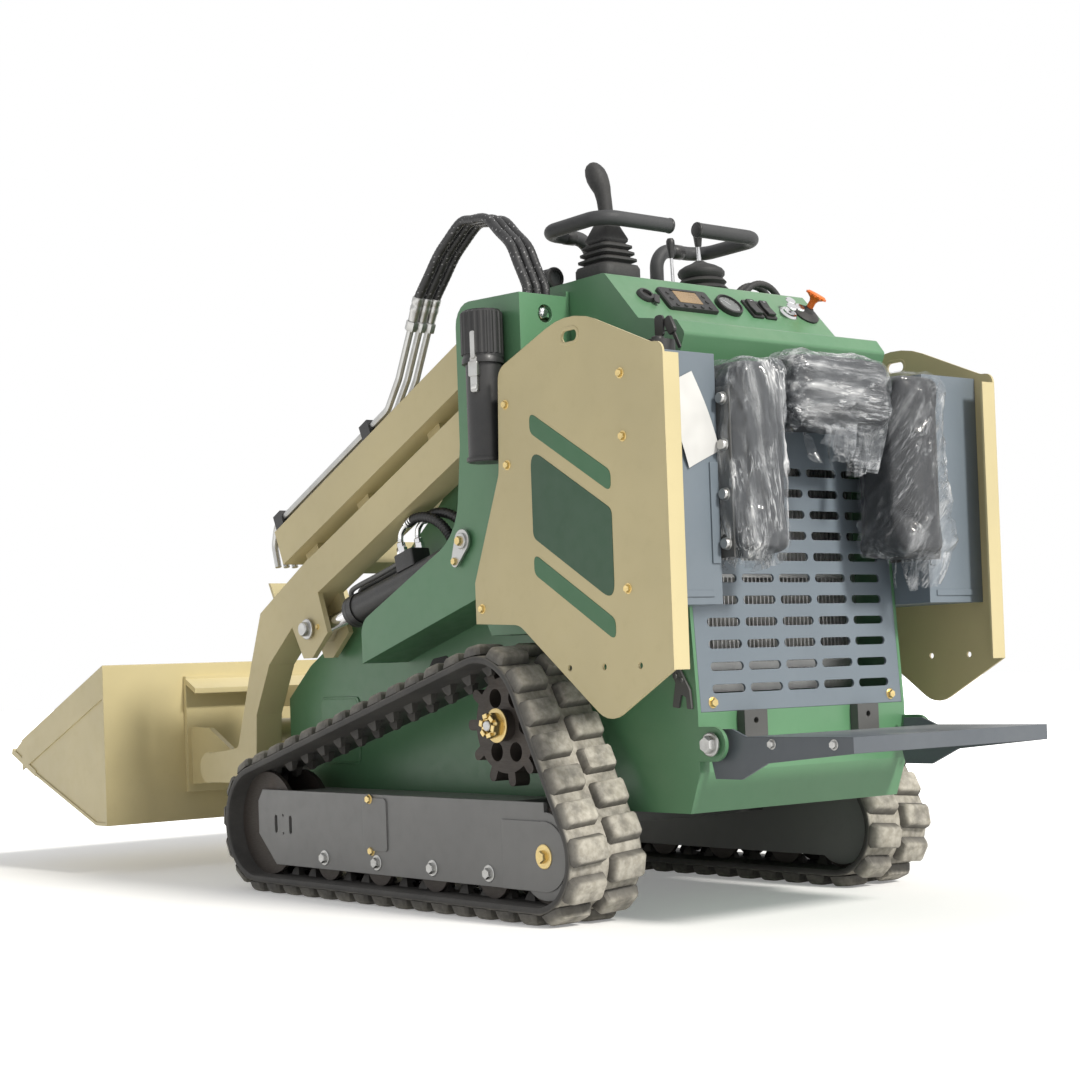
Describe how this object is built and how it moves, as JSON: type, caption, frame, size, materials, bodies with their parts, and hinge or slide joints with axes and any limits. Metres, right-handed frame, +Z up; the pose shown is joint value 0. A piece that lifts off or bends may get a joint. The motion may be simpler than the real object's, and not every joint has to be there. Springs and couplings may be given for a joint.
{
  "type": "compact track loader",
  "caption": "Stand-on compact track loader with rubber tracks, twin-bar lift arms, hydraulic cylinders, a tilting bucket, a rear control console and a folding operator platform.",
  "frame": {"origin": "middle of the overall box, on the ground under the tracks", "axes": "+X toward the bucket, +Y to the operator's left, +Z up"},
  "size_m": [2.854, 1.08, 1.5152],
  "materials": {
    "green_paint": "satin",
    "tan_paint": "satin",
    "slate_paint": "satin",
    "dark_paint": "satin",
    "black_plastic": "matte",
    "pad_vinyl": "satin",
    "rubber": "matte",
    "track_rubber": "dusty matte",
    "cast_steel": "rough",
    "bare_steel": "brushed",
    "chrome_rod": "polished",
    "fin_metal": "satin",
    "orange_plastic": "gloss"
  },
  "bodies": {
    "chassis": {"chassis_tub": "green_paint", "hood": "green_paint", "tower_left": "green_paint", "tower_right": "green_paint", "console": "green_paint", "shield_left": "tan_paint", "shield_right": "tan_paint", "rear_grille": "slate_paint", "tank_left": "slate_paint", "tank_right": "slate_paint", "pad_brackets": "dark_paint", "rear_brackets": "dark_paint", "track_frame_left": "dark_paint", "track_frame_right": "dark_paint", "cross_beams": "dark_paint", "filler_cap": "black_plastic", "canister": "black_plastic", "joystick": "black_plastic", "instruments": "black_plastic", "lamp": "black_plastic", "pad_left": "pad_vinyl", "pad_right": "pad_vinyl", "pad_center": "pad_vinyl", "handrail_left": "rubber", "handrail_right": "rubber", "track_left": "track_rubber", "track_right": "track_rubber", "sprocket_left": "cast_steel", "sprocket_right": "cast_steel", "track_wheels_left": "cast_steel", "track_wheels_right": "cast_steel", "engine": "cast_steel", "levers": "bare_steel", "radiator": "fin_metal", "throttle_knob": "orange_plastic"},
    "arm": {"lift_arm": "tan_paint", "arm_tubes": "bare_steel", "tube_clamps": "bare_steel", "hoses": "rubber"},
    "barrel_left": {"lift_barrel_left": "dark_paint"},
    "barrel_right": {"lift_barrel_right": "dark_paint"},
    "rod_left": {"lift_rod_left": "chrome_rod"},
    "rod_right": {"lift_rod_right": "chrome_rod"},
    "tilt_case": {"tilt_barrel": "dark_paint"},
    "tilt_shaft": {"tilt_rod": "chrome_rod"},
    "tool": {"hitch": "dark_paint", "bucket": "tan_paint"},
    "step": {"platform": "slate_paint"}
  },
  "joints": [
    {"name": "lift", "type": "hinge", "parent": "chassis", "child": "arm", "pos_m": [-0.622, 0, 1.11], "axis": [0, -1, 0], "range_deg": [0, 60], "deforming": ["hoses"]},
    {"name": "tilt", "type": "hinge", "parent": "arm", "child": "tool", "pos_m": [0.623, 0, 0.27], "axis": [0, 1, 0], "range_deg": [-5, 95]},
    {"name": "platform_fold", "type": "hinge", "parent": "chassis", "child": "step", "pos_m": [-1.102, 0, 0.335], "axis": [0, 1, 0], "range_deg": [0, 80]},
    {"name": "lift_swing_left", "type": "hinge", "parent": "chassis", "child": "barrel_left", "pos_m": [-0.525, 0.341, 0.75], "axis": [0, -1, 0], "range_deg": [-2, 62]},
    {"name": "lift_swing_right", "type": "hinge", "parent": "chassis", "child": "barrel_right", "pos_m": [-0.525, -0.341, 0.75], "axis": [0, -1, 0], "range_deg": [-2, 62]},
    {"name": "lift_stroke_left", "type": "slide", "parent": "barrel_left", "child": "rod_left", "axis": [0.9731, 0, -0.2302], "range_m": [-0.005, 0.385]},
    {"name": "lift_stroke_right", "type": "slide", "parent": "barrel_right", "child": "rod_right", "axis": [0.9731, 0, -0.2302], "range_m": [-0.005, 0.385]},
    {"name": "tilt_swing", "type": "hinge", "parent": "arm", "child": "tilt_case", "pos_m": [0.228, 0, 0.77], "axis": [0, 1, 0], "range_deg": [-2, 12]},
    {"name": "tilt_stroke", "type": "slide", "parent": "tilt_case", "child": "tilt_shaft", "axis": [0.8095, 0, -0.5871], "range_m": [-0.015, 0.25]}
  ],
  "couplings": [
    {"joint": "lift_swing_left", "follows": "lift", "ratio": 0.9904},
    {"joint": "lift_swing_right", "follows": "lift", "ratio": 0.9904},
    {"joint": "lift_stroke_left", "follows": "lift", "m_per_rad": 0.3559},
    {"joint": "lift_stroke_right", "follows": "lift", "m_per_rad": 0.3559},
    {"joint": "tilt_swing", "follows": "tilt", "ratio": 0.1035},
    {"joint": "tilt_stroke", "follows": "tilt", "m_per_rad": 0.1445}
  ]
}
